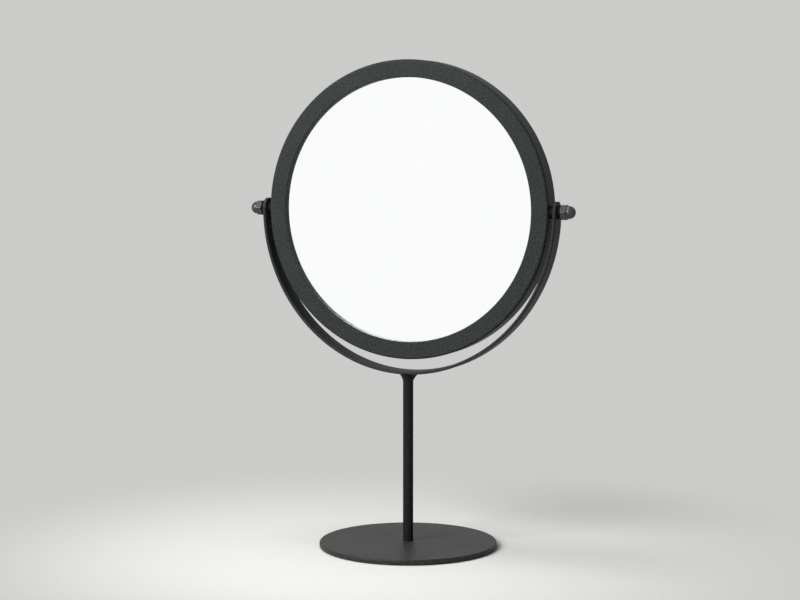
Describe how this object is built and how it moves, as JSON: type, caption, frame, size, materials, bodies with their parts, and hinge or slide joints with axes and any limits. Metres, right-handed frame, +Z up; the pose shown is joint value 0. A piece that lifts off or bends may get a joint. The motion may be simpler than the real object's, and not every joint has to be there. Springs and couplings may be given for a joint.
{
  "type": "tilting vanity mirror",
  "caption": "Round vanity mirror in a deep flat black metal frame that tilts between the arms of a half-round strap yoke, on a thin upright rod with a round base plate.",
  "frame": {"origin": "middle of the round footprint, on the table under the foam pad", "axes": "+Z up along the rod, -Y the way the mirror faces at rest, X along the tilting axis"},
  "size_m": [0.2686, 0.1384, 0.3775],
  "materials": {
    "black_powder_coat": "matte",
    "base_powder_coat": "matte",
    "black_hardware": "satin",
    "zinc_steel": "satin",
    "mirror_silver": "polished",
    "hardboard": "matte",
    "packing_card": "matte",
    "pad_foam": "matte",
    "nylon": "matte"
  },
  "bodies": {
    "stand": {"base_plate": "base_powder_coat", "base_pad": "pad_foam", "base_screw": "zinc_steel", "stem_rod": "black_powder_coat", "yoke_weld": "black_powder_coat", "yoke_strap": "black_powder_coat"},
    "mirror_head": {"frame_ring": "black_powder_coat", "mirror_glass": "mirror_silver", "backing_board": "hardboard", "packing_disc": "packing_card", "back_panel": "black_powder_coat", "frame_ear_1": "black_powder_coat", "panel_screw_1": "black_hardware", "frame_ear_2": "black_powder_coat", "panel_screw_2": "black_hardware", "frame_ear_3": "black_powder_coat", "panel_screw_3": "black_hardware", "frame_ear_4": "black_powder_coat", "panel_screw_4": "black_hardware", "left_weld_nut": "zinc_steel", "left_pivot_stud": "zinc_steel", "left_spacer": "nylon", "left_washer": "nylon", "left_cap_nut": "black_hardware", "right_weld_nut": "zinc_steel", "right_pivot_stud": "zinc_steel", "right_spacer": "nylon", "right_washer": "nylon", "right_cap_nut": "black_hardware"}
  },
  "joints": [
    {"name": "mirror_tilt", "type": "hinge", "parent": "stand", "child": "mirror_head", "pos_m": [0, 0, 0.2625], "axis": [1, 0, 0], "continuous": true}
  ]
}
